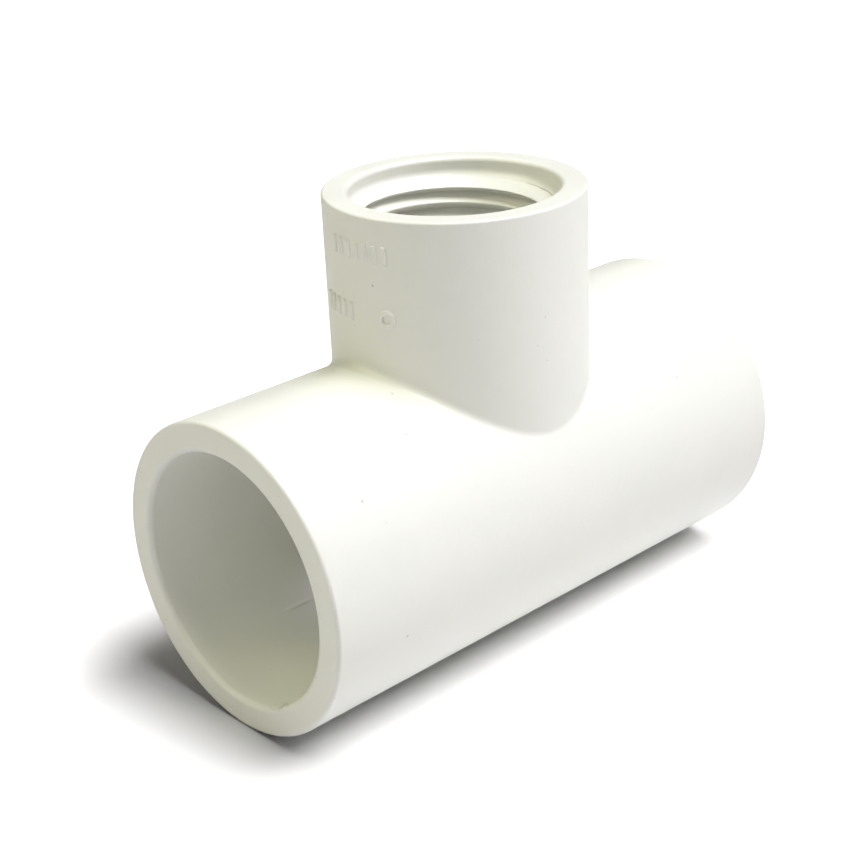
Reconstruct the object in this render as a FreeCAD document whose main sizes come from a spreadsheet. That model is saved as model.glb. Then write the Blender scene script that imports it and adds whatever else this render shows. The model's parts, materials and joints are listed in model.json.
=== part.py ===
import FreeCAD, Part
import math
import os

import Sketcher
from FreeCAD import Placement, Rotation, Vector

# A reducing tee: two plain pipe sockets in line and a female taper pipe thread on the branch.
# The tee is one moulding. It is divided here, along flat planes, into the regions that do different jobs.
# Origin: on the floor, under the branch axis. +X runs along the run, +Z up the branch. Millimetres.

# name, value in mm or degrees, what it is
DIMENSIONS = [
    ("run_outer_radius", 16.67, "outside of the run, 1-5/16 in across"),
    ("run_half_length", 32.9, "branch axis to each end face"),
    ("socket_radius", 13.36, "mean of the tapered 3/4 in socket, 26.87 to 26.57 across"),
    ("socket_depth", 18.6, "end face to the pipe stop"),
    ("mouth_round", 0.6, "rounding of a socket mouth"),
    ("end_edge_round", 0.4, "rounding of an end face's outer edge"),
    ("waterway_radius", 10.65, "bore between the pipe stops"),
    ("saddle_half_length", 18.0, "branch axis to where the socket tubes begin"),
    ("saddle_height", 18.4, "run axis to where the branch tube begins"),
    ("foot_fillet", 1.0, "fillet where the branch meets the run"),
    ("branch_outer_radius", 13.8, "outside of the branch"),
    ("branch_height", 33.2, "run axis to the branch face"),
    ("branch_way_radius", 8.9, "bore under the thread"),
    ("counterbore_radius", 11.05, "recess in the branch mouth"),
    ("counterbore_depth", 1.75, "branch face to the lead-in cone"),
    ("lead_in_depth", 3.1, "branch face to the first full crest"),
    ("branch_mouth_round", 0.55, "rounding of the recess's edge in the branch face"),
    ("branch_rim_round", 0.3, "rounding of the branch face's outer edge"),
    ("thread_crest_radius", 9.2, "crests of the 1/2 in thread"),
    ("thread_root_radius", 10.5, "roots of the thread beside the lead-in cone"),
    ("thread_root_flat", 0.16, "width of a root"),
    ("thread_pitch", 1.8143, "14 threads an inch"),
    ("thread_taper", 1.79, "half angle of the 1 in 16 taper, degrees"),
    ("thread_flank", 30.0, "half angle of the 60 degree thread, degrees"),
    ("mark_width", 0.55, "width of a raised tally bar"),
    ("mark_tall", 1.9, "height of a tally bar up the branch"),
    ("mark_raise", 0.2, "how far a mark stands out"),
    ("mark_step", 5.0, "angle between tally bars"),
    ("mark_row_high", 29.5, "run axis to the middle of the upper row"),
    ("mark_row_low", 22.9, "run axis to the middle of the lower row"),
    ("ring_mark_radius", 1.0, "outside of the raised ring"),
    ("ring_mark_hole", 0.45, "inside of the raised ring"),
    ("ring_mark_angle", 195.0, "where the ring is, from +X about the branch"),
    ("parting_size", 100.0, "side of the blocks that stand for the mould halves"),
]
# places of the bars in each row, counted in steps either side of -X
UPPER_BARS = range(-3, 4)
LOWER_BARS = range(-5, 0)
# how far a cutter or a blank reaches past the surface it works on
OVERRUN = 1.0
THREAD_OVERCUT = 0.5
# two measures this close are taken as equal
NEAR = 0.01


def make_sheet(doc):
    sheet = doc.addObject("Spreadsheet::Sheet", "dimensions")
    for row, (alias, value, meaning) in enumerate(DIMENSIONS, start=1):
        sheet.set("A%d" % row, meaning)
        sheet.set("B%d" % row, str(value))
        sheet.setAlias("B%d" % row, alias)
    doc.recompute()
    return sheet


def origin_plane(body, role):
    return next(f for f in body.Origin.OriginFeatures if f.Role == role)


def new_sketch(body, name, role):
    sketch = body.newObject("Sketcher::SketchObject", name)
    sketch.AttachmentSupport = (origin_plane(body, role), [""])
    sketch.MapMode = "FlatFace"
    return sketch


def draw_polygon(sketch, corners):
    """Draw a closed outline and tie each corner's two coordinates to the sheet.

    Each corner is (x value, y value, x formula, y formula).
    """
    count = len(corners)
    for index in range(count):
        start, end = corners[index], corners[(index + 1) % count]
        side = Part.LineSegment(Vector(start[0], start[1], 0), Vector(end[0], end[1], 0))
        sketch.addGeometry(side, False)
    for index in range(count):
        sketch.addConstraint(Sketcher.Constraint("Coincident", index, 2, (index + 1) % count, 1))
    for index, (x, y, x_formula, y_formula) in enumerate(corners):
        for kind, value, formula in (("DistanceX", x, x_formula), ("DistanceY", y, y_formula)):
            number = sketch.addConstraint(Sketcher.Constraint(kind, -1, 1, index, 1, value))
            sketch.setExpression("Constraints[%d]" % number, formula)


def draw_circle(sketch, radius, formula):
    circle = sketch.addGeometry(Part.Circle(Vector(0, 0, 0), Vector(0, 0, 1), radius), False)
    sketch.addConstraint(Sketcher.Constraint("Coincident", circle, 3, -1, 1))
    number = sketch.addConstraint(Sketcher.Constraint("Radius", circle, radius))
    sketch.setExpression("Constraints[%d]" % number, formula)


def half_turn_and_mirror(doc, body, sketch, axis):
    """Revolve the outline through half a turn, then mirror it across the mould's parting plane."""
    half = body.newObject("PartDesign::Revolution", body.Name + "_half")
    half.Profile = sketch
    half.ReferenceAxis = (sketch, [axis])
    half.Angle = 180.0
    half.Refine = False
    doc.recompute()
    mirror = body.newObject("PartDesign::Mirrored", body.Name + "_whole")
    mirror.Originals = [half]
    mirror.MirrorPlane = (origin_plane(body, "XZ_Plane"), [""])
    mirror.Refine = False
    body.Tip = mirror
    doc.recompute()
    return mirror


def round_edges(doc, body, base, name, wanted, formula):
    """Fillet every edge of the base feature that the test picks."""
    names = ["Edge%d" % (i + 1) for i, edge in enumerate(base.Shape.Edges) if wanted(edge)]
    fillet = body.newObject("PartDesign::Fillet", name)
    fillet.Base = (base, names)
    fillet.setExpression("Radius", formula)
    fillet.Refine = False
    body.Tip = fillet
    doc.recompute()
    return fillet


def ring_at(axis, height, radius):
    """A test for the arcs of one circle round an axis."""
    along = Vector(*axis)

    def test(edge):
        if not isinstance(edge.Curve, Part.Circle):
            return False
        centre = edge.Curve.Center
        return (
            abs(edge.Curve.Radius - radius) < NEAR
            and abs(abs(edge.Curve.Axis.dot(along)) - 1) < 1e-6
            and abs(centre.dot(along) - height) < NEAR
        )

    return test


def make_run_socket(doc, sheet, name, turn):
    """A socket tube, drawn on the -X side and turned about the branch axis to its own side."""
    body = doc.addObject("PartDesign::Body", name)
    sketch = new_sketch(body, name + "_outline", "XZ_Plane")
    inner, outer = sheet.socket_radius, sheet.run_outer_radius
    near, far = -sheet.saddle_half_length, -sheet.run_half_length
    length, begin = "-dimensions.run_half_length", "-dimensions.saddle_half_length"
    draw_polygon(sketch, [
        (far, inner, length, "dimensions.socket_radius"),
        (near, inner, begin, "dimensions.socket_radius"),
        (near, outer, begin, "dimensions.run_outer_radius"),
        (far, outer, length, "dimensions.run_outer_radius"),
    ])
    whole = half_turn_and_mirror(doc, body, sketch, "H_Axis")
    mouth = round_edges(doc, body, whole, name + "_mouth", ring_at((1, 0, 0), far, inner),
                        "dimensions.mouth_round")
    round_edges(doc, body, mouth, name + "_rim", ring_at((1, 0, 0), far, outer),
                "dimensions.end_edge_round")
    place_on_run_axis(body, turn)
    return body


def place_on_run_axis(body, turn=0.0):
    body.Placement = Placement(Vector(0, 0, 0), Rotation(Vector(0, 0, 1), turn))
    body.setExpression("Placement.Base.z", "dimensions.run_outer_radius")


def make_branch_hub(doc, sheet):
    """The branch tube: a plain bored tube, threaded, then given its recessed mouth and lead-in cone."""
    body = doc.addObject("PartDesign::Body", "branch_hub_body")
    ring = new_sketch(body, "branch_ring", "XY_Plane")
    draw_circle(ring, sheet.branch_outer_radius, "dimensions.branch_outer_radius")
    draw_circle(ring, sheet.thread_crest_radius, "dimensions.thread_crest_radius")
    ring.setExpression("AttachmentOffset.Base.z", "dimensions.saddle_height")
    tube = pad(doc, body, ring, "branch_tube", "dimensions.branch_height - dimensions.saddle_height")
    threaded = cut_thread(doc, sheet, body, tube)
    recessed = cut_branch_mouth(doc, sheet, body, threaded)
    face = sheet.branch_height
    mouth = round_edges(doc, body, recessed, "branch_mouth_round",
                        ring_at((0, 0, 1), face, sheet.counterbore_radius), "dimensions.branch_mouth_round")
    round_edges(doc, body, mouth, "branch_rim_round",
                ring_at((0, 0, 1), face, sheet.branch_outer_radius), "dimensions.branch_rim_round")
    return split_at_parting_plane(doc, body, "branch_hub")


def pad(doc, body, sketch, name, length, midplane=False):
    feature = body.newObject("PartDesign::Pad", name)
    feature.Profile = sketch
    feature.setExpression("Length", length)
    feature.Midplane = midplane
    feature.Refine = False
    body.Tip = feature
    doc.recompute()
    return feature


def pocket(doc, body, base, sketch, name, length, midplane=False, reverse=False):
    """Cut a pocket and make sure that it removed something."""
    feature = body.newObject("PartDesign::Pocket", name)
    feature.Profile = sketch
    feature.setExpression("Length", length)
    feature.Midplane = midplane
    feature.Reversed = reverse
    feature.Refine = False
    body.Tip = feature
    doc.recompute()
    must_be_smaller(base, feature)
    return feature


def must_be_smaller(before, after):
    """Stop if a cut removed less than a cubic millimetre."""
    if after.Shape.Volume > before.Shape.Volume - 1.0:
        raise RuntimeError("%s cut nothing from %s" % (after.Name, before.Name))


def cut_thread(doc, sheet, body, base):
    """Cut the groove from one pitch under the tube to above its face, widening with the taper."""
    slope = math.tan(math.radians(sheet.thread_taper))
    spread = math.tan(math.radians(sheet.thread_flank))
    start = sheet.saddle_height - sheet.thread_pitch
    lead = sheet.branch_height - sheet.lead_in_depth
    root = sheet.thread_root_radius - (lead - start) * slope
    inside = sheet.thread_crest_radius - THREAD_OVERCUT
    half_root = sheet.thread_root_flat / 2
    half_open = half_root + (root - inside) * spread
    root_formula = (
        "dimensions.thread_root_radius - (dimensions.branch_height - dimensions.lead_in_depth"
        " - dimensions.saddle_height + dimensions.thread_pitch) * tan(dimensions.thread_taper * 1deg)"
    )
    inside_formula = "dimensions.thread_crest_radius - %g" % THREAD_OVERCUT
    middle = "dimensions.saddle_height - dimensions.thread_pitch"
    root_half_formula = "dimensions.thread_root_flat / 2"
    open_half_formula = "%s + ((%s) - (%s)) * tan(dimensions.thread_flank * 1deg)" % (
        root_half_formula, root_formula, inside_formula)
    groove = new_sketch(body, "thread_groove", "XZ_Plane")
    draw_polygon(groove, [
        (inside, start - half_open, inside_formula, "%s - (%s)" % (middle, open_half_formula)),
        (root, start - half_root, root_formula, "%s - %s" % (middle, root_half_formula)),
        (root, start + half_root, root_formula, "%s + %s" % (middle, root_half_formula)),
        (inside, start + half_open, inside_formula, "%s + (%s)" % (middle, open_half_formula)),
    ])
    thread = body.newObject("PartDesign::SubtractiveHelix", "branch_thread")
    thread.Profile = groove
    thread.ReferenceAxis = (groove, ["V_Axis"])
    thread.Mode = "pitch-height-angle"
    thread.setExpression("Pitch", "dimensions.thread_pitch")
    thread.setExpression("Height", "dimensions.branch_height - dimensions.saddle_height"
                                   " + dimensions.thread_pitch")
    thread.setExpression("Angle", "dimensions.thread_taper")
    thread.Refine = False
    body.Tip = thread
    doc.recompute()
    must_be_smaller(base, thread)
    return thread


def cut_branch_mouth(doc, sheet, body, base):
    """Turn out the recess and the cone that leads a pipe into the first crest."""
    above = sheet.branch_height + OVERRUN
    ledge = sheet.branch_height - sheet.counterbore_depth
    lead = sheet.branch_height - sheet.lead_in_depth
    above_formula = "dimensions.branch_height + %g" % OVERRUN
    ledge_formula = "dimensions.branch_height - dimensions.counterbore_depth"
    lead_formula = "dimensions.branch_height - dimensions.lead_in_depth"
    axis_formula = "0"
    outline = new_sketch(body, "mouth_outline", "XZ_Plane")
    draw_polygon(outline, [
        (0.0, lead, axis_formula, lead_formula),
        (sheet.thread_crest_radius, lead, "dimensions.thread_crest_radius", lead_formula),
        (sheet.counterbore_radius, ledge, "dimensions.counterbore_radius", ledge_formula),
        (sheet.counterbore_radius, above, "dimensions.counterbore_radius", above_formula),
        (0.0, above, axis_formula, above_formula),
    ])
    mouth = body.newObject("PartDesign::Groove", "branch_mouth")
    mouth.Profile = outline
    mouth.ReferenceAxis = (outline, ["V_Axis"])
    mouth.Angle = 360.0
    mouth.Refine = False
    body.Tip = mouth
    doc.recompute()
    must_be_smaller(base, mouth)
    return mouth


def split_at_parting_plane(doc, body, name):
    """Divide every face where the two halves of the mould met, and join the halves again."""
    halves = []
    for side, y_formula in (("front", "-dimensions.parting_size"), ("rear", "0mm")):
        block = doc.addObject("Part::Box", "mould_half_" + side)
        for size in ("Length", "Width", "Height"):
            block.setExpression(size, "dimensions.parting_size")
        block.setExpression("Placement.Base.x", "-dimensions.parting_size / 2")
        block.setExpression("Placement.Base.y", y_formula)
        half = doc.addObject("Part::Common", name + "_" + side)
        half.Base = body
        half.Tool = block
        half.Refine = False
        halves.append(half)
    whole = doc.addObject("Part::Fuse", name)
    whole.Base, whole.Tool = halves
    whole.Refine = False
    place_on_run_axis(whole)
    doc.recompute()
    return whole


def make_saddle(doc, sheet):
    """The middle of the run: the waterway, both pipe stops and the root of the branch."""
    body = doc.addObject("PartDesign::Body", "run_saddle")
    run = new_sketch(body, "saddle_run_circle", "YZ_Plane")
    draw_circle(run, sheet.run_outer_radius, "dimensions.run_outer_radius")
    pad(doc, body, run, "saddle_run", "2 * dimensions.saddle_half_length", midplane=True)
    root = new_sketch(body, "saddle_branch_circle", "XY_Plane")
    draw_circle(root, sheet.branch_outer_radius, "dimensions.branch_outer_radius")
    branch = pad(doc, body, root, "saddle_branch", "dimensions.saddle_height")
    filleted = round_edges(doc, body, branch, "saddle_foot", is_saddle_edge, "dimensions.foot_fillet")
    through = new_sketch(body, "waterway_circle", "YZ_Plane")
    draw_circle(through, sheet.waterway_radius, "dimensions.waterway_radius")
    length = "2 * (dimensions.saddle_half_length + %g)" % OVERRUN
    bored = pocket(doc, body, filleted, through, "waterway", length, midplane=True)
    bored = cut_socket_ends(doc, sheet, body, bored)
    way = new_sketch(body, "branch_way_circle", "XY_Plane")
    draw_circle(way, sheet.branch_way_radius, "dimensions.branch_way_radius")
    pocket(doc, body, bored, way, "branch_way", "dimensions.saddle_height + %g" % OVERRUN, reverse=True)
    place_on_run_axis(body)
    return body


def is_saddle_edge(edge):
    """The curve where two crossing cylinders meet is neither straight nor a circle."""
    return not isinstance(edge.Curve, (Part.Line, Part.Circle))


def cut_socket_ends(doc, sheet, body, base):
    """Open each end to the socket radius as far as the pipe stop."""
    stop = "dimensions.run_half_length - dimensions.socket_depth"
    depth = "dimensions.saddle_half_length - (%s) + %g" % (stop, OVERRUN)
    for side, sign in (("left", -1), ("right", 1)):
        circle = new_sketch(body, "socket_end_" + side, "YZ_Plane")
        draw_circle(circle, sheet.socket_radius, "dimensions.socket_radius")
        circle.setExpression("AttachmentOffset.Base.z", "%d * (%s)" % (sign, stop))
        base = pocket(doc, body, base, circle, "pipe_stop_" + side, depth, reverse=sign > 0)
    return base


def make_bar(doc, sheet, name, step, row_formula):
    """One blank for a tally bar, which reaches through the branch's outer wall."""
    bar = doc.addObject("Part::Box", name)
    bar.Length = 2 * OVERRUN
    bar.setExpression("Width", "dimensions.mark_width")
    bar.setExpression("Height", "dimensions.mark_tall")
    turn = Rotation(Vector(0, 0, 1), 180.0 + step * sheet.mark_step)
    corner = turn.multVec(Vector(sheet.branch_outer_radius - OVERRUN, -sheet.mark_width / 2, 0))
    bar.Placement = Placement(corner, turn)
    bar.setExpression("Placement.Base.z", "%s - dimensions.mark_tall / 2" % row_formula)
    return bar


def make_ring_mark(doc, sheet):
    """The blank for the raised ring at the end of the lower row."""
    turn = Rotation(Vector(0, 0, 1), sheet.ring_mark_angle)
    start = turn.multVec(Vector(sheet.branch_outer_radius - OVERRUN, 0, 0))
    radii = (("ring_disc", "dimensions.ring_mark_radius"), ("ring_hole", "dimensions.ring_mark_hole"))
    pieces = []
    for name, formula in radii:
        disc = doc.addObject("Part::Cylinder", name)
        disc.setExpression("Radius", formula)
        disc.Height = 2 * OVERRUN
        disc.Placement = Placement(start, turn * Rotation(Vector(0, 1, 0), 90))
        disc.setExpression("Placement.Base.z", "dimensions.mark_row_low")
        pieces.append(disc)
    ring = doc.addObject("Part::Cut", "ring_blank")
    ring.Base, ring.Tool = pieces
    return ring


def make_mark_shell(doc):
    """The thin shell round the branch that the raised marks fill."""
    pieces = []
    for name, extra in (("mark_shell_outer", " + dimensions.mark_raise"), ("mark_shell_inner", "")):
        tube = doc.addObject("Part::Cylinder", name)
        tube.setExpression("Radius", "dimensions.branch_outer_radius" + extra)
        tube.setExpression("Height", "dimensions.branch_height")
        pieces.append(tube)
    shell = doc.addObject("Part::Cut", "mark_shell")
    shell.Base, shell.Tool = pieces
    return shell


def make_marks(doc, sheet):
    """Two rows of plain raised tally bars and one ring on the -X side of the branch."""
    rows = (
        ("upper_bar", UPPER_BARS, "dimensions.mark_row_high"),
        ("lower_bar", LOWER_BARS, "dimensions.mark_row_low"),
    )
    blanks = []
    for row, steps, row_formula in rows:
        for step in steps:
            name = "%s_%d" % (row, len(blanks) + 1)
            blanks.append(make_bar(doc, sheet, name, step, row_formula))
    blanks.append(make_ring_mark(doc, sheet))
    compound = doc.addObject("Part::Compound", "mark_blanks")
    compound.Links = blanks
    marks = doc.addObject("Part::Common", "moulded_marks")
    marks.Base = compound
    marks.Tool = make_mark_shell(doc)
    place_on_run_axis(marks)
    doc.recompute()
    return marks


def check_document(doc):
    """Stop if any object of the document failed to rebuild."""
    for item in doc.Objects:
        bad = [state for state in item.State if state in ("Invalid", "Error")]
        if bad:
            raise RuntimeError("%s is %s" % (item.Name, bad))


def export(parts):
    os.makedirs("parts", exist_ok=True)
    for part in parts:
        shape = part.Shape
        if shape.isNull() or not shape.isValid():
            raise RuntimeError("%s has no valid shape" % part.Label)
        shape.exportStep("parts/%s.step" % part.Label)
        print("%-18s %2d solids  %9.1f cubic mm" % (part.Label, len(shape.Solids), shape.Volume))


def main():
    doc = FreeCAD.newDocument("reducing_tee")
    sheet = make_sheet(doc)
    parts = [
        make_run_socket(doc, sheet, "run_socket_left", 0.0),
        make_run_socket(doc, sheet, "run_socket_right", 180.0),
        make_saddle(doc, sheet),
        make_branch_hub(doc, sheet),
        make_marks(doc, sheet),
    ]
    doc.recompute()
    check_document(doc)
    export(parts)


main()
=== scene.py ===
import json
import math

import bpy
import numpy as np
from mathutils import Matrix, Vector


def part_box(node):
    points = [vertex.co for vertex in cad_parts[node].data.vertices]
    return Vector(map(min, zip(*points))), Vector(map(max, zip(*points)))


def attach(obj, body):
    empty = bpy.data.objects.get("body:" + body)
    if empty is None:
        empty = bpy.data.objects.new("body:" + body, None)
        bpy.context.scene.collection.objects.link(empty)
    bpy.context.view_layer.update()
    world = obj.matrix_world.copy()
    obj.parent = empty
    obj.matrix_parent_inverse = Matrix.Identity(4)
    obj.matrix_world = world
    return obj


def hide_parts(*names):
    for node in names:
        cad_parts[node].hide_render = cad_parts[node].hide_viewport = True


# A white PVC reducing tee. All shapes are worked out in millimetres about the point where the run's axis
# crosses the branch's, then moved into the frame, in metres.
MM = 0.001

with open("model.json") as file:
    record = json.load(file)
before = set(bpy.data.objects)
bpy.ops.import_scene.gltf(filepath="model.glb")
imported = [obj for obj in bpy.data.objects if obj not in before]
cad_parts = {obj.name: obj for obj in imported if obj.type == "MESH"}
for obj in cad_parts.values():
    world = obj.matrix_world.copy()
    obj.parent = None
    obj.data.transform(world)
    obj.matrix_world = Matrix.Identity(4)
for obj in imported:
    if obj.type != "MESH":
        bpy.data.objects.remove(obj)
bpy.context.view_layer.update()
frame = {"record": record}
mounts = {m["name"]: m for m in frame["record"]["mounts"]}


def box_mm(node):
    low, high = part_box(node)
    return np.array(low) / MM, np.array(high) / MM


# ---- sizes, read from the CAD model where it states them ----
left_low, left_high = box_mm("run_socket_left")
hub_low, hub_high = box_mm("branch_hub")
RUN_R = round((left_high[2] - left_low[2]) / 2, 2)
AXIS_Z = round((left_high[2] + left_low[2]) / 2, 2)
RUN_END = round(-left_low[0], 2)
ZONE_X = round(-left_high[0], 2)
HUB_R = round((hub_high[1] - hub_low[1]) / 2, 2)
HUB_TOP = round(hub_high[2] - AXIS_Z, 2)
ZONE_Z = round(hub_low[2] - AXIS_Z, 2)
SOCKET_R = mounts["run_socket_left"]["dims"]["r_mm"]
CREST_R = mounts["branch_thread"]["dims"]["r_mm"]

# sizes inside, which the CAD model has but doesn't state
SOCKET_TAPER = 0.075                    # how much wider than its middle the socket is at its mouth
STOP_X = 14.3                           # where the pipe stops
WATER_R, WAY_R = 10.65, 8.9             # the waterway along the run, and the bore up into the branch
RECESS_R, RECESS_Z = 11.05, HUB_TOP - 1.75
LEAD_Z = HUB_TOP - 3.1                  # where the thread ends in a cone
ROOT_R, ROOT_FLAT, PITCH = 10.5, 0.16, 1.8143
FLANK = math.radians(30)                # half of the thread's 60 degrees
TAPER = math.tan(math.radians(1.79))

# roundings
FOOT_ROUND, WAY_ROUND = 1.0, 0.5
MOUTH_ROUND, END_ROUND, STOP_ROUND = 0.6, 0.4, 0.3
RIM_ROUND, RIM_INNER_ROUND = 0.3, 0.55
ROOT_SOFT, CREST_SOFT, RECESS_SOFT = 0.04, 0.12, 0.7

# how finely the skin is divided
COLUMNS = 320                           # steps round the branch
SIDE = COLUMNS // 4
SPREAD = math.radians(75)               # half width of the patch of run that the branch grows from
BELLY = 112                             # steps round the rest of the run
EDGE_CROWDING = 1.3                     # above 1, the patch's steps are closer near the branch
FINE_FROM, FINE_TO = 24.0, 31.8         # heights between which the thread is in view
COARSE_STEP, FINE_STEP = 0.12, 0.06
WELD_PER_MM, WELD_SHIFT = 4000, 0.31    # points in one cell of this grid are joined; the shift keeps round sizes
                                        # off the edges of its cells


# ---- the moulding's skin, as grids of points with their exact outward normals ----
def quads_of(index):
    """The four corners of each cell of a grid of point numbers."""
    return np.stack([index[:-1, :-1], index[1:, :-1], index[1:, 1:], index[:-1, 1:]], -1).reshape(-1, 4)


class Skin:
    """Grids of points, each belonging to the zone of the CAD node that it covers."""

    def __init__(self):
        self.points, self.normals, self.faces, self.zones = [], [], [], []
        self.count = 0

    def grid(self, zone, points, normals, wrap=True):
        """Add a grid, joined across its last and first columns unless told otherwise."""
        rows, cols = points.shape[:2]
        index = self.count + np.arange(rows * cols).reshape(rows, cols)
        if wrap:
            index = np.concatenate([index, index[:, :1]], 1)
        quads = np.stack([index[:-1, :-1], index[:-1, 1:], index[1:, 1:], index[1:, :-1]], -1).reshape(-1, 4)
        self.points.append(points.reshape(-1, 3))
        self.normals.append(normals.reshape(-1, 3))
        self.faces.append(quads)
        self.zones += [zone] * len(quads)
        self.count += rows * cols

    def merged(self):
        """Join the grids where their points meet, and turn every face the way its normals point."""
        points, normals = np.concatenate(self.points), np.concatenate(self.normals)
        faces, zones = np.concatenate(self.faces), np.array(self.zones)
        _, first, back = np.unique(np.round(points * WELD_PER_MM + WELD_SHIFT).astype(np.int64), axis=0,
                                   return_index=True, return_inverse=True)
        back = back.ravel()
        joined = np.zeros((len(first), 3))
        np.add.at(joined, back, normals)
        joined /= np.maximum(np.linalg.norm(joined, axis=1, keepdims=True), 1e-9)
        points, faces = points[first], back[faces]
        diagonal_a = points[faces[:, 2]] - points[faces[:, 0]]
        diagonal_b = points[faces[:, 3]] - points[faces[:, 1]]
        facing = np.einsum("ij,ij->i", np.cross(diagonal_a, diagonal_b), joined[faces].sum(1))
        faces[facing < 0] = faces[facing < 0][:, ::-1]
        return points, joined, faces, zones


def stack(*columns):
    """Coordinates x, y and z side by side, in arrays of one shape."""
    return np.stack(np.broadcast_arrays(*columns), -1)


THETA = np.radians(-45 + 360 * np.arange(COLUMNS) / COLUMNS)
COS, SIN = np.cos(THETA), np.sin(THETA)


def round_branch(profile):
    """Points and normals for a profile of (radius, height, radial normal, upward normal) turned about +Z."""
    r, z, nr, nz = (np.asarray(v, float)[:, None] for v in zip(*profile))
    return stack(r * COS, r * SIN, z + 0 * COS), stack(nr * COS, nr * SIN, nz + 0 * COS)


def on_run(radius, x, phi, inward):
    """Points and normals on a cylinder along the run, with phi counted from the top."""
    sign = -1.0 if inward else 1.0
    points = stack(x, radius * np.sin(phi), radius * np.cos(phi))
    return points, stack(0 * x, sign * np.sin(phi), sign * np.cos(phi))


def crossing(run_r, branch_r, ball):
    """Where a ball rolling along both cylinders touches the branch and the run, for every column."""
    y = (branch_r + ball) * SIN
    centre = stack((branch_r + ball) * COS, y, np.sqrt((run_r + ball) ** 2 - y ** 2))
    branch_touch = stack(branch_r * COS, branch_r * SIN, centre[:, 2])
    share = run_r / (run_r + ball)
    run_touch = stack(centre[:, 0], centre[:, 1] * share, centre[:, 2] * share)
    return centre, branch_touch, run_touch


def rolled(centre, start, end, ball, steps, outward):
    """The rounding that the ball leaves between its two touching points."""
    a, b = (start - centre) / ball, (end - centre) / ball
    angle = np.arccos(np.clip((a * b).sum(-1), -1, 1))[None, :, None]
    t = np.linspace(0, 1, steps + 1)[:, None, None]
    way = (np.sin((1 - t) * angle) * a + np.sin(t * angle) * b) / np.sin(angle)
    return centre + ball * way, way if outward else -way


def patch_edge(half_length):
    """The (x, phi) outline of the run's patch, one point for each column."""
    t = np.arange(SIDE) / SIDE
    one, fall = np.ones(SIDE), 1 - 2 * t
    x = half_length * np.concatenate([one, fall, -one, -fall])
    phi = SPREAD * np.concatenate([-fall, one, fall, -one])
    return x, phi


PHI = np.concatenate([SPREAD * (2 * np.arange(SIDE) / SIDE - 1),
                      SPREAD + (2 * math.pi - 2 * SPREAD) * np.arange(BELLY) / BELLY])


def run_patch(skin, zone, radius, foot, half_length, steps, inward):
    """From the foot of the branch out to a rectangle on the run, then the run's belly between the two ends."""
    foot_phi = np.arctan2(foot[:, 1], foot[:, 2])
    edge_x, edge_phi = patch_edge(half_length)
    s = (np.linspace(0, 1, steps + 1) ** EDGE_CROWDING)[:, None]
    x, phi = foot[:, 0] + (edge_x - foot[:, 0]) * s, foot_phi + (edge_phi - foot_phi) * s
    skin.grid(zone, *on_run(radius, x, phi, inward))
    lengths = half_length * (1 - 2 * np.arange(SIDE + 1) / SIDE)
    rest = np.append(PHI[SIDE:], 2 * math.pi - SPREAD)
    x, phi = np.meshgrid(lengths, rest, indexing="ij")
    skin.grid(zone, *on_run(radius, x, phi, inward), wrap=False)


def round_run(profile, side):
    """Points and normals for a profile of (distance along the run, radius, outward, radial) on one side."""
    x, r, nx, nr = (np.asarray(v, float)[:, None] for v in zip(*profile))
    sin, cos = np.sin(PHI), np.cos(PHI)
    return (stack(side * x + 0 * sin, r * sin, r * cos),
            stack(side * nx + 0 * sin, nr * sin, nr * cos))


def bend(centre_x, centre_r, ball, start, end, steps, outward=True):
    """A quarter round in a profile. Angles are in degrees from +distance towards +radius."""
    sign = 1.0 if outward else -1.0
    angles = np.radians(np.linspace(start, end, steps + 1))
    return [(centre_x + ball * math.cos(a), centre_r + ball * math.sin(a),
             sign * math.cos(a), sign * math.sin(a)) for a in angles]


def line(x0, r0, x1, r1, nx, nr, steps):
    """A straight stretch of a profile, with one normal."""
    size = math.hypot(nx, nr)
    return [(x0 + (x1 - x0) * k / steps, r0 + (r1 - r0) * k / steps, nx / size, nr / size)
            for k in range(steps + 1)]


def socket_r(x):
    """The socket narrows evenly from its mouth to the pipe stop."""
    middle = (RUN_END + STOP_X) / 2
    return SOCKET_R + SOCKET_TAPER * (x - middle) / (RUN_END - middle)


def run_end(skin, side, zone):
    """One end of the run: over its face and down the socket to the pipe stop."""
    mouth, stop = RUN_END - MOUTH_ROUND, STOP_X + STOP_ROUND
    slope = 2 * SOCKET_TAPER / (RUN_END - STOP_X)
    tube = line(ZONE_X, RUN_R, RUN_END - END_ROUND, RUN_R, 0, 1, 10)
    tube += bend(RUN_END - END_ROUND, RUN_R - END_ROUND, END_ROUND, 90, 0, 6)[1:]
    tube += line(RUN_END, RUN_R - END_ROUND, RUN_END, socket_r(mouth) + MOUTH_ROUND, 1, 0, 8)[1:]
    tube += bend(mouth, socket_r(mouth) + MOUTH_ROUND, MOUTH_ROUND, 0, -90, 8)[1:]
    tube += line(mouth, socket_r(mouth), ZONE_X, socket_r(ZONE_X), slope, -1, 12)[1:]
    skin.grid(zone, *round_run(tube, side))
    deep = line(ZONE_X, socket_r(ZONE_X), stop, socket_r(stop), slope, -1, 3)
    deep += bend(stop, socket_r(stop) - STOP_ROUND, STOP_ROUND, 90, 180, 5, outward=False)[1:]
    deep += line(STOP_X, socket_r(stop) - STOP_ROUND, STOP_X, WATER_R + STOP_ROUND, 1, 0, 4)[1:]
    deep += bend(STOP_X - STOP_ROUND, WATER_R + STOP_ROUND, STOP_ROUND, 0, -90, 5)[1:]
    skin.grid("run_saddle", *round_run(deep, side))


def soft_max(a, b, k):
    """The larger of two sizes, blended where they are within k of each other."""
    return np.maximum(a, b) + np.maximum(k - np.abs(a - b), 0) ** 2 / (4 * k)


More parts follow.
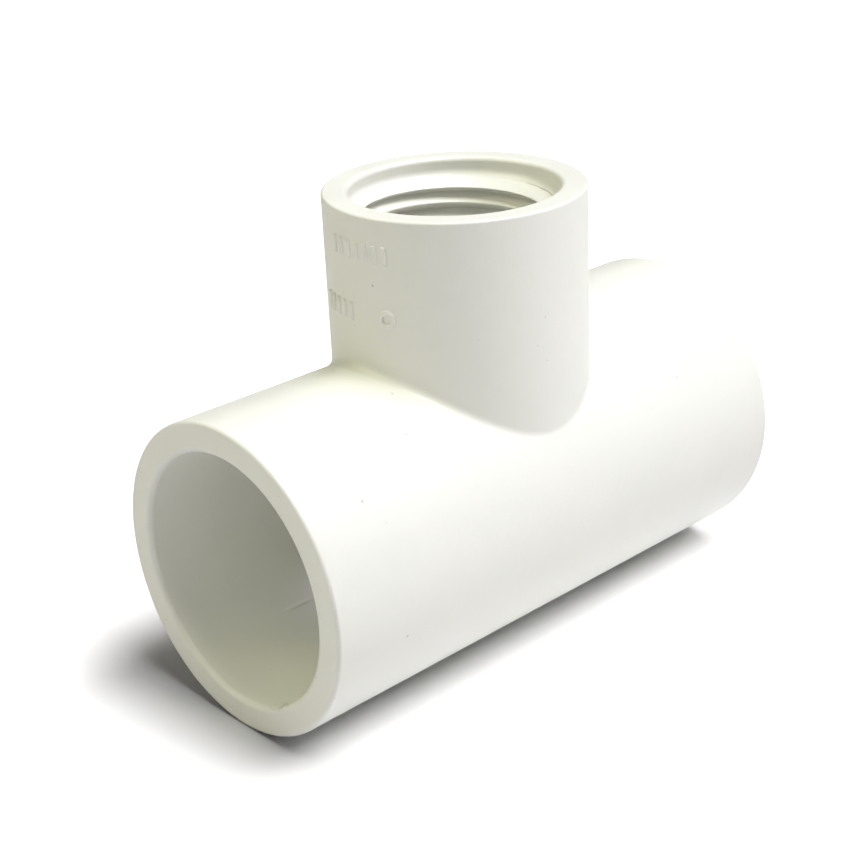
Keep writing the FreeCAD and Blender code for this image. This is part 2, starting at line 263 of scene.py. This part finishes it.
def branch_wall(theta, z):
    """Radius inside the branch: straight crests, a 60 degree groove that tapers 1 in 16, a cone and a recess."""
    centre = ZONE_Z - PITCH + PITCH * (theta % (2 * math.pi)) / (2 * math.pi)
    off = (z - centre + PITCH / 2) % PITCH - PITCH / 2
    root = ROOT_R + (z - LEAD_Z) * TAPER
    groove = root - np.maximum(np.sqrt(off ** 2 + ROOT_SOFT ** 2) - ROOT_FLAT / 2, 0) / math.tan(FLANK)
    cone = CREST_R + (z - LEAD_Z) * (RECESS_R - CREST_R) / (RECESS_Z - LEAD_Z)
    recess = -soft_max(-cone, -RECESS_R + 0 * z, RECESS_SOFT)
    return soft_max(soft_max(groove, CREST_R + 0 * z, CREST_SOFT), recess, CREST_SOFT)


def threaded_wall(z_rows):
    """Points and normals inside the branch at the given heights."""
    theta, z = THETA[None, :] + 0 * z_rows[:, None], z_rows[:, None] + 0 * THETA[None, :]
    r = branch_wall(theta, z)
    step = 1e-3
    slope_z = (branch_wall(theta, z + step) - branch_wall(theta, z - step)) / (2 * step)
    slope_t = (branch_wall(theta + step, z) - branch_wall(theta - step, z)) / (2 * step) / r
    normal = stack(-COS - slope_t * SIN, -SIN + slope_t * COS, slope_z)
    normal /= np.linalg.norm(normal, axis=-1, keepdims=True)
    return stack(r * COS, r * SIN, z), normal


def spaced(start, end, step):
    """Heights a step apart, up to three quarters of a step before the end."""
    return np.arange(start, end - 0.75 * step, step)


def build_skin():
    skin = Skin()
    up = np.linspace(0, 1, 9)[:, None]
    # the branch's foot, outside
    centre, branch_touch, run_touch = crossing(RUN_R, HUB_R, FOOT_ROUND)
    height = ZONE_Z + (branch_touch[:, 2] - ZONE_Z) * up
    skin.grid("run_saddle", stack(HUB_R * COS, HUB_R * SIN, height), stack(COS, SIN, 0 * height))
    skin.grid("run_saddle", *rolled(centre, branch_touch, run_touch, FOOT_ROUND, 12, outward=False))
    run_patch(skin, "run_saddle", RUN_R, run_touch, ZONE_X, 20, inward=False)
    # the waterway and the way up into the branch
    centre, branch_touch, run_touch = crossing(WATER_R, WAY_R, WAY_ROUND)
    height = ZONE_Z + (branch_touch[:, 2] - ZONE_Z) * up
    skin.grid("run_saddle", stack(WAY_R * COS, WAY_R * SIN, height), stack(-COS, -SIN, 0 * height))
    skin.grid("run_saddle", *rolled(centre, branch_touch, run_touch, WAY_ROUND, 5, outward=True))
    run_patch(skin, "run_saddle", WATER_R, run_touch, STOP_X - STOP_ROUND, 10, inward=True)
    # the step at the bottom of the thread
    wall, _ = threaded_wall(np.array([ZONE_Z]))
    out = np.linspace(0, 1, 4)[:, None, None]
    ledge = stack(WAY_R * COS, WAY_R * SIN, ZONE_Z + 0 * COS)[None] * (1 - out) + wall * out
    skin.grid("run_saddle", ledge, np.broadcast_to([0.0, 0.0, 1.0], ledge.shape))
    # the thread, the cone and the recess, then over the rim and down the outside
    lip, top = HUB_TOP - RIM_INNER_ROUND, HUB_TOP - RIM_ROUND
    inner, outer = RECESS_R + RIM_INNER_ROUND, HUB_R - RIM_ROUND
    heights = np.concatenate([spaced(ZONE_Z, FINE_FROM, COARSE_STEP), spaced(FINE_FROM, FINE_TO, FINE_STEP),
                              np.linspace(FINE_TO, lip, 5)])
    skin.grid("branch_hub", *threaded_wall(heights))
    rim = [(inner - RIM_INNER_ROUND * math.cos(a), lip + RIM_INNER_ROUND * math.sin(a), -math.cos(a), math.sin(a))
           for a in np.radians(np.linspace(0, 90, 9))]
    rim += [(inner + (outer - inner) * k / 6, HUB_TOP, 0, 1) for k in range(1, 7)]
    skin.grid("branch_hub", *round_branch(rim))
    wall = [(outer + RIM_ROUND * math.sin(a), top + RIM_ROUND * math.cos(a), math.sin(a), math.cos(a))
            for a in np.radians(np.linspace(0, 90, 7))]
    wall += [(HUB_R, top + (ZONE_Z - top) * k / 24, 1, 0) for k in range(1, 25)]
    skin.grid("branch_hub", *round_branch(wall))
    run_end(skin, -1, "run_socket_left")
    run_end(skin, 1, "run_socket_right")
    return skin.merged()


def to_frame(points):
    return (points + np.array([0, 0, AXIS_Z])) * MM


def add_mesh(name, points, faces, material, normals=None):
    """A smooth object from points in metres, with the given normals or its own."""
    mesh = bpy.data.meshes.new(name)
    mesh.from_pydata([tuple(p) for p in points], [], [tuple(int(i) for i in f) for f in faces])
    mesh.materials.append(material)
    mesh.polygons.foreach_set("use_smooth", [True] * len(mesh.polygons))
    mesh.update()
    if normals is not None:
        mesh.normals_split_custom_set_from_vertices([tuple(n) for n in normals])
    obj = bpy.data.objects.new(name, mesh)
    bpy.context.scene.collection.objects.link(obj)
    return obj


def print_closed(faces):
    """Say how many edges have one face, or more than two. A closed skin has none."""
    edges = np.sort(np.concatenate([faces[:, [k, (k + 1) % 4]] for k in range(4)]), axis=1)
    uses = np.unique(edges, axis=0, return_counts=True)[1]
    print("skin faces", len(faces), "open edges", int((uses == 1).sum()), "bad edges", int((uses > 2).sum()))


def make_skin_pieces(material):
    """The skin, cut into one piece for each CAD node that it covers."""
    points, normals, faces, zones = build_skin()
    print_closed(faces)
    points = to_frame(points)
    made = []
    for zone in sorted(set(zones)):
        mine = faces[zones == zone]
        used, local = np.unique(mine, return_inverse=True)
        piece = add_mesh(zone + "_skin", points[used], local.reshape(mine.shape), material, normals[used])
        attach(piece, "root")
        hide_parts(zone)
        made.append(piece)
    return made


# ---- raised marks on the branch: two rows of plain tally bars and a ring ----
BAR_ROWS = ((29.5, range(-3, 4)), (22.9, range(-5, 0)))     # height of each row, and its bars' places
BAR_WIDE, BAR_TALL, BAR_STEP = 0.55, 1.9, 5.0               # the step is in degrees
BARS_FACE = 180.0
RING_ANGLE, RING_R, RING_HOLE = 195.0, 1.0, 0.45
MARK_UP, MARK_SUNK, MARK_FLANK = 0.2, 0.03, 0.13
FLANK_STEPS = np.array([0, 0.2, 0.45, 0.75, 1.0]) * MARK_FLANK


def swell(inside):
    """How far a mark stands off the wall at a distance inside its outline."""
    return (MARK_UP + MARK_SUNK) * np.sin(np.clip(inside / MARK_FLANK, 0, 1) * math.pi / 2) - MARK_SUNK


def on_branch(angle, across, up, lift):
    """A point on the branch wall: millimetres across from an angle, up from the run's axis, and off the wall."""
    turn = math.radians(angle) + across / HUB_R
    r = HUB_R + lift
    return stack(r * np.cos(turn), r * np.sin(turn), up)


def bar_mark(angle, height):
    """A tally bar as a grid of points over its front, and the faces that close it."""
    half_wide, half_tall = BAR_WIDE / 2, BAR_TALL / 2
    flat = 0.7      # half of the bar's even stretch
    wide = np.concatenate([FLANK_STEPS - half_wide, [0.0], half_wide - FLANK_STEPS[::-1]])
    tall = np.concatenate([FLANK_STEPS - half_tall, np.linspace(-flat, flat, 7), half_tall - FLANK_STEPS[::-1]])
    a, b = np.meshgrid(wide, tall, indexing="ij")
    grid = on_branch(angle, a, height + b, swell(np.minimum(half_wide - np.abs(a), half_tall - np.abs(b))))
    index = np.arange(a.size).reshape(a.shape)
    back = [*index[0, :], *index[1:, -1], *index[-1, -2::-1], *index[-2:0:-1, 0]]
    return grid.reshape(-1, 3), [*quads_of(index), back]


def ring_mark(angle, height):
    """A raised ring, closed underneath inside the wall."""
    radii = np.concatenate([RING_HOLE + FLANK_STEPS, [(RING_HOLE + RING_R) / 2], RING_R - FLANK_STEPS[::-1]])
    around = np.linspace(0, 2 * math.pi, 49)[:-1]
    r, t = np.meshgrid(radii, around, indexing="ij")
    grid = on_branch(angle, r * np.cos(t), height + r * np.sin(t), swell(np.minimum(r - RING_HOLE, RING_R - r)))
    index = np.pad(np.arange(r.size).reshape(r.shape), ((0, 1), (0, 1)), mode="wrap")
    return grid.reshape(-1, 3), list(quads_of(index))


def make_marks(material):
    forms = [bar_mark(BARS_FACE + place * BAR_STEP, height) for height, places in BAR_ROWS for place in places]
    forms.append(ring_mark(RING_ANGLE, BAR_ROWS[1][0]))
    points, faces = [], []
    for grid, loops in forms:
        faces += [[int(v) + len(points) for v in loop] for loop in loops]
        points += list(to_frame(grid))
    marks = add_mesh("branch_marks", points, faces, material)
    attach(marks, "root")
    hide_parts("moulded_marks")
    return marks


# ---- materials ----
class Shading:
    """A new material's nodes. What goes into each function below is a node's socket or a number."""

    def __init__(self, name):
        self.material = bpy.data.materials.new(name)
        self.material.use_nodes = True
        self.nodes = self.material.node_tree.nodes
        self.links = self.material.node_tree.links
        self.nodes.clear()
        self.where = self.nodes.new("ShaderNodeTexCoord").outputs["Object"]

    def feed(self, socket, value):
        if isinstance(value, bpy.types.NodeSocket):
            self.links.new(value, socket)
        else:
            socket.default_value = value

    def maths(self, kind, first, second=None):
        made = self.nodes.new("ShaderNodeMath")
        made.operation = kind
        self.feed(made.inputs[0], first)
        if second is not None:
            self.feed(made.inputs[1], second)
        return made.outputs[0]

    def add(self, first, second):
        return self.maths("ADD", first, second)

    def times(self, first, second):
        return self.maths("MULTIPLY", first, second)

    def largest(self, first, second):
        return self.maths("MAXIMUM", first, second)

    def axes(self):
        made = self.nodes.new("ShaderNodeSeparateXYZ")
        self.feed(made.inputs["Vector"], self.where)
        return made.outputs

    def vector(self, kind, first, second=None):
        made = self.nodes.new("ShaderNodeVectorMath")
        made.operation = kind
        self.feed(made.inputs[0], first)
        if second is not None:
            self.feed(made.inputs[1], second)
        return made.outputs

    def noise(self, scale, detail, stretch=(1, 1, 1)):
        """A cloudy noise, which a small number in stretch draws out into lines along that axis."""
        made = self.nodes.new("ShaderNodeTexNoise")
        made.inputs["Scale"].default_value = scale
        made.inputs["Detail"].default_value = detail
        self.feed(made.inputs["Vector"], self.vector("MULTIPLY", self.where, stretch)["Vector"])
        return made.outputs["Fac"]

    def remap(self, value, start, end, low, high):
        """From low to high, smoothly, as the value goes from start to end."""
        made = self.nodes.new("ShaderNodeMapRange")
        made.interpolation_type = "SMOOTHSTEP"
        self.feed(made.inputs["Value"], value)
        for key, number in zip(("From Min", "From Max", "To Min", "To Max"), (start, end, low, high)):
            made.inputs[key].default_value = number
        return made.outputs["Result"]

    def ramp(self, value, start, dark, end, light):
        made = self.nodes.new("ShaderNodeValToRGB")
        for element, place, colour in zip(made.color_ramp.elements, (start, end), (dark, light)):
            element.position = place
            element.color = (*colour, 1)
        self.feed(made.inputs["Fac"], value)
        return made.outputs["Color"]

    def tinted(self, colour, mask, tint):
        """The colour moved towards a tint where the mask is 1."""
        made = self.nodes.new("ShaderNodeMix")
        made.data_type = "RGBA"
        self.feed(made.inputs[0], mask)
        self.feed(made.inputs[6], colour)
        made.inputs[7].default_value = (*tint, 1)
        return made.outputs[2]

    def spot(self, along, radius, phi, half):
        """1 inside an ellipsoid on the run, fading to 0 at its edge."""
        made = self.nodes.new("ShaderNodeMapping")
        made.vector_type = "TEXTURE"
        turn = math.radians(phi)
        self.feed(made.inputs["Vector"], self.where)
        made.inputs["Location"].default_value = (
            along * MM, radius * math.sin(turn) * MM, (AXIS_Z + radius * math.cos(turn)) * MM)
        made.inputs["Rotation"].default_value = (-turn, 0, 0)
        made.inputs["Scale"].default_value = [size * MM for size in half]
        return self.remap(self.vector("LENGTH", made.outputs["Vector"])["Value"], 0.3, 1.0, 1.0, 0.0)

    def specks(self, cell, size):
        """A few small dark grains: the cell centres of a Voronoi that happen to lie on the surface."""
        made = self.nodes.new("ShaderNodeTexVoronoi")
        made.inputs["Scale"].default_value = 1 / (cell * MM)
        self.feed(made.inputs["Vector"], self.where)
        return self.remap(made.outputs["Distance"], 0.6 * size / cell, size / cell, 1.0, 0.0)

    def finished(self, inputs):
        """The material, with the given inputs on its one shader."""
        shader = self.nodes.new("ShaderNodeBsdfPrincipled")
        for key, value in inputs.items():
            self.feed(shader.inputs[key], value)
        output = self.nodes.new("ShaderNodeOutputMaterial")
        self.links.new(shader.outputs["BSDF"], output.inputs["Surface"])
        return self.material


PVC_DARK, PVC_LIGHT = (0.845, 0.85, 0.80), (0.88, 0.88, 0.84)
# the darker tint serves the dirt grains and also the painted shade beside the scratch
GRIME_AND_SHADE, SCUFF = (0.30, 0.29, 0.22), (0.97, 0.97, 0.95)
PVC_IOR = 1.53
# noises, as scale and detail
CLOUD, MOTTLE, GRAIN = (90.0, 3.0), (520.0, 4.0), (2200.0, 3.0)
FLOW_LINES, FLOW_STRETCH = (900.0, 2.0), (1.0, 1.0, 0.03)
FLOW_RISE = (0.028, 0.036)          # metres above the floor over which the flow lines come in, at the branch's foot
TORN_NOISE = (1500.0, 2.0)
# grains of dirt, as the size of their cells and their own, and where the grit comes in, next to the run's ends
GRAINS, FINE_GRAINS, GRIT = (5.0, 0.19), (2.9, 0.11), (1.5, 0.09)
GRIT_FROM, GRIT_FULL = RUN_END - 0.8, RUN_END - 0.4
# marks in the left socket, as the distance along the run, radius, degrees from the top, and half sizes along,
# round and out
SCRATCH = (-19.0, SOCKET_R, 146, (3.0, 0.22, 0.3))
# painted shade: a darker strip beside the scratch, where its groove would lie in shade; the bump carves the same
# groove
SCRATCH_SHADE = (-18.8, SOCKET_R, 147.6, (2.4, 0.14, 0.3))
NICK = (-RUN_END, SOCKET_R + 0.3, 304, (0.5, 0.3, 0.3))
TORN_EDGE = (-RUN_END + 0.6, SOCKET_R, 208, (0.9, 3.0, 0.7))
# how much of each goes into the colour and into the bump
FINE_DIRT, GRIT_DIRT, DIRT_TINT = 0.5, 0.8, 0.45
SCRATCH_TINT, SHADE_TINT, NICK_TINT, TORN_TINT = 0.8, 0.25, 0.35, 0.4
MOTTLE_RISE, FLOW_LINES_RISE, NICK_DEPTH, TORN_RISE = 1.5, 1.5, 6.0, 8.0
BUMP_STRENGTH, BUMP_HEIGHT = 0.35, 0.03 * MM
PVC_SMOOTHEST, PVC_ROUGHEST = 0.28, 0.38


def pvc_material():
    """White PVC: cloudy tone, a fine moulded grain with flow lines up the branch, grains of dirt, a few marks, and
    painted shade beside a scratch.
    """
    make = Shading("white_pvc")
    add, times, largest = make.add, make.times, make.largest
    axes = make.axes()
    cloud, mottle, grain = make.noise(*CLOUD), make.noise(*MOTTLE), make.noise(*GRAIN)
    flow = times(make.noise(*FLOW_LINES, stretch=FLOW_STRETCH), make.remap(axes["Z"], *FLOW_RISE, 0.0, 1.0))
    at_mouths = make.remap(make.maths("ABSOLUTE", axes["X"]), GRIT_FROM * MM, GRIT_FULL * MM, 0.0, 1.0)
    dirt = add(make.specks(*GRAINS), times(make.specks(*FINE_GRAINS), FINE_DIRT))
    dirt = add(dirt, times(times(make.specks(*GRIT), at_mouths), GRIT_DIRT))
    scratch, shade, nick = make.spot(*SCRATCH), make.spot(*SCRATCH_SHADE), make.spot(*NICK)
    torn = times(make.spot(*TORN_EDGE), make.remap(make.noise(*TORN_NOISE), 0.4, 0.6, 0.0, 1.0))

    colour = make.ramp(add(times(cloud, 0.75), times(mottle, 0.25)), 0.25, PVC_DARK, 0.75, PVC_LIGHT)
    colour = make.tinted(colour, times(dirt, DIRT_TINT), GRIME_AND_SHADE)
    colour = make.tinted(colour, times(scratch, SCRATCH_TINT), SCUFF)
    # painted shade in the strip beside the scratch, with the nick and the torn edge darkened too
    marks = largest(times(shade, SHADE_TINT), largest(times(nick, NICK_TINT), times(torn, TORN_TINT)))
    colour = make.tinted(colour, marks, GRIME_AND_SHADE)

    height = add(add(times(mottle, MOTTLE_RISE), grain), times(flow, FLOW_LINES_RISE))
    height = make.maths("SUBTRACT", height, times(largest(nick, shade), NICK_DEPTH))
    height = add(height, times(torn, TORN_RISE))
    bump = make.nodes.new("ShaderNodeBump")
    bump.inputs["Strength"].default_value = BUMP_STRENGTH
    bump.inputs["Distance"].default_value = BUMP_HEIGHT
    make.feed(bump.inputs["Height"], height)
    return make.finished({"Base Color": colour, "IOR": PVC_IOR, "Normal": bump.outputs["Normal"],
                          "Roughness": make.remap(cloud, 0.3, 0.7, PVC_SMOOTHEST, PVC_ROUGHEST)})


PAPER_DARK, PAPER_LIGHT, PAPER_ROUGHNESS = (0.90, 0.90, 0.90), (0.92, 0.92, 0.92), 0.9
# the patch of floor that takes the shadow and doesn't glow: half its length, and its two sides, in metres
PATCH_X, PATCH_LOW, PATCH_HIGH = 0.030, -0.004, 0.016
# each glow's strength, and how many metres past that patch it starts and is full
GLOWS = ((0.72, 0.002, 0.017), (0.8, 0.2, 0.7))


def floor_material():
    """White paper with painted light: it glows away from the object and not on a patch round it, which trims the
    cast shadow.
    """
    make = Shading("floor_white")
    axes = make.axes()
    past_end = make.maths("SUBTRACT", make.maths("ABSOLUTE", axes["X"]), PATCH_X)
    past_side = make.largest(make.maths("SUBTRACT", axes["Y"], PATCH_HIGH),
                             make.maths("SUBTRACT", PATCH_LOW, axes["Y"]))
    past_end, past_side = make.largest(past_end, 0.0), make.largest(past_side, 0.0)
    away = make.maths("SQRT", make.add(make.maths("POWER", past_end, 2.0), make.maths("POWER", past_side, 2.0)))
    # painted light: the floor's glow, which cuts the cast shadow off at the patch's edge
    glow = 0.0
    for strength, start, end in GLOWS:
        glow = make.add(make.remap(away, start, end, 0.0, strength), glow)
    return make.finished({"Base Color": make.ramp(make.noise(6.0, 2.0), 0.0, PAPER_DARK, 1.0, PAPER_LIGHT),
                          "Emission Color": (1, 1, 1, 1), "Emission Strength": glow,
                          "Roughness": PAPER_ROUGHNESS})


# ---- floor, light and camera ----
FLOOR_HALF, FLOOR_CELLS = 1.5, 24


def make_floor():
    steps = np.linspace(-FLOOR_HALF, FLOOR_HALF, FLOOR_CELLS + 1)
    x, y = np.meshgrid(steps, steps, indexing="ij")
    mesh = bpy.data.meshes.new("floor")
    mesh.from_pydata([(float(a), float(b), 0.0) for a, b in zip(x.ravel(), y.ravel())], [],
                     quads_of(np.arange(x.size).reshape(x.shape)).tolist())
    mesh.materials.append(floor_material())
    mesh.update()
    floor = bpy.data.objects.new("floor", mesh)
    bpy.context.scene.collection.objects.link(floor)
    return floor


# the camera's turn about the branch, rise and roll in degrees, and its distance and aim in millimetres
CAM_TURN, CAM_RISE, CAM_ROLL, CAM_AWAY = -42.517, 23.522, -2.719, 188.991
CAM_ACROSS, CAM_UP, CAM_LENS = -3.658, 5.212, 71.287

LIGHT_AWAY = 0.8
LIGHT_AIM = Vector((0, 0, 0.02))
# what each light reaches, its turn from the camera's side and rise in degrees, size in metres, watts, colour
LIGHTS = (
    ("floor", 68, 63, 0.6, 8.2, (1.0, 0.99, 1.0)),
    ("floor", 200, 60, 1.2, 0.6, (1.0, 0.96, 0.85)),
    ("floor", 0, 40, 1.2, 0.4, (1.0, 0.98, 1.0)),
    ("object", 55, 70, 0.3, 3.1, (1.0, 1.0, 0.82)),
    ("object", 90, 70, 0.3, 2.6, (0.68, 0.68, 0.95)),
    ("object", 0, 90, 0.3, 1.0, (0.95, 0.95, 1.0)),
    ("object", 0, 45, 0.4, 0.6, (1.0, 1.0, 0.95)),
    ("object", 90, 45, 0.4, 1.0, (1.0, 0.95, 0.95)),
    ("object", 90, 15, 0.4, 0.7, (0.9, 0.9, 0.93)),
    ("object", 135, 15, 0.4, 0.6, (0.95, 0.98, 0.55)),
    ("object", 180, 45, 0.4, 0.3, (0.85, 1.0, 0.8)),
    ("object", 270, 45, 0.4, 1.4, (1.0, 0.97, 0.6)),
    ("object", 270, 15, 0.4, 0.45, (1.0, 1.0, 0.7)),
    ("object", 315, 45, 0.4, 0.2, (1.0, 1.0, 0.5)),
)


def direction(turn, rise):
    """The way towards something seen at this turn about the branch and this rise above the floor, in degrees."""
    turn, rise = math.radians(turn), math.radians(rise)
    return Vector((math.sin(turn) * math.cos(rise), -math.cos(turn) * math.cos(rise), math.sin(rise)))


def make_light(kind, turn, rise, size, watts, colour, receivers):
    """A square area light on a dome round the object."""
    data = bpy.data.lights.new(f"{kind}_{turn}_{rise}", "AREA")
    place = direction(CAM_TURN + turn, rise) * LIGHT_AWAY
    data.size = size
    data.energy = watts
    data.color = colour
    light = bpy.data.objects.new(data.name, data)
    light.location = place
    light.rotation_mode = "QUATERNION"
    light.rotation_quaternion = (LIGHT_AIM - place).to_track_quat("-Z", "Y")
    light.light_linking.receiver_collection = receivers
    bpy.context.scene.collection.objects.link(light)


def make_lights(lit):
    """Lights that reach the floor and lights that reach the object, so that each can be set by itself.

    The object stands in the floor's lights all the same, so it casts their shadow and takes the light that the
    floor sends back.
    """
    groups = {}
    for kind, objects in lit.items():
        groups[kind] = bpy.data.collections.new("lit_" + kind)
        for obj in objects:
            groups[kind].objects.link(obj)
    for obj in lit["floor"]:
        obj.light_linking.receiver_collection = groups["floor"]     # the floor's glow doesn't reach the object
    for kind, *settings in LIGHTS:
        make_light(kind, *settings, groups[kind])


def make_world():
    """A white backdrop that the camera sees past the floor, and that lights nothing."""
    world = bpy.data.worlds.new("studio")
    bpy.context.scene.world = world
    world.use_nodes = True
    world.node_tree.nodes["Background"].inputs["Color"].default_value = (1, 1, 1, 1)
    world.cycles_visibility.diffuse = False
    world.cycles_visibility.glossy = False


def make_camera():
    turn, roll = math.radians(CAM_TURN), math.radians(CAM_ROLL)
    back = direction(CAM_TURN, CAM_RISE)
    right = Vector((math.cos(turn), math.sin(turn), 0))
    up = back.cross(right)
    aim = right * CAM_ACROSS + up * CAM_UP + Vector((0, 0, AXIS_Z))
    right, up = right * math.cos(roll) + up * math.sin(roll), up * math.cos(roll) - right * math.sin(roll)
    data = bpy.data.cameras.new("camera")
    data.lens = CAM_LENS
    data.sensor_width = 36
    data.clip_start, data.clip_end = 0.01, 10
    camera = bpy.data.objects.new("camera", data)
    bpy.context.scene.collection.objects.link(camera)
    camera.matrix_world = Matrix.Translation((aim + back * CAM_AWAY) * MM) @ Matrix(
        (right, up, back)).transposed().to_4x4()
    bpy.context.scene.camera = camera


# ---- the scene ----
pvc = pvc_material()
pieces = make_skin_pieces(pvc) + [make_marks(pvc)]
make_lights({"floor": [make_floor()], "object": pieces})
make_world()
make_camera()
bpy.context.scene.view_settings.view_transform = "Standard"
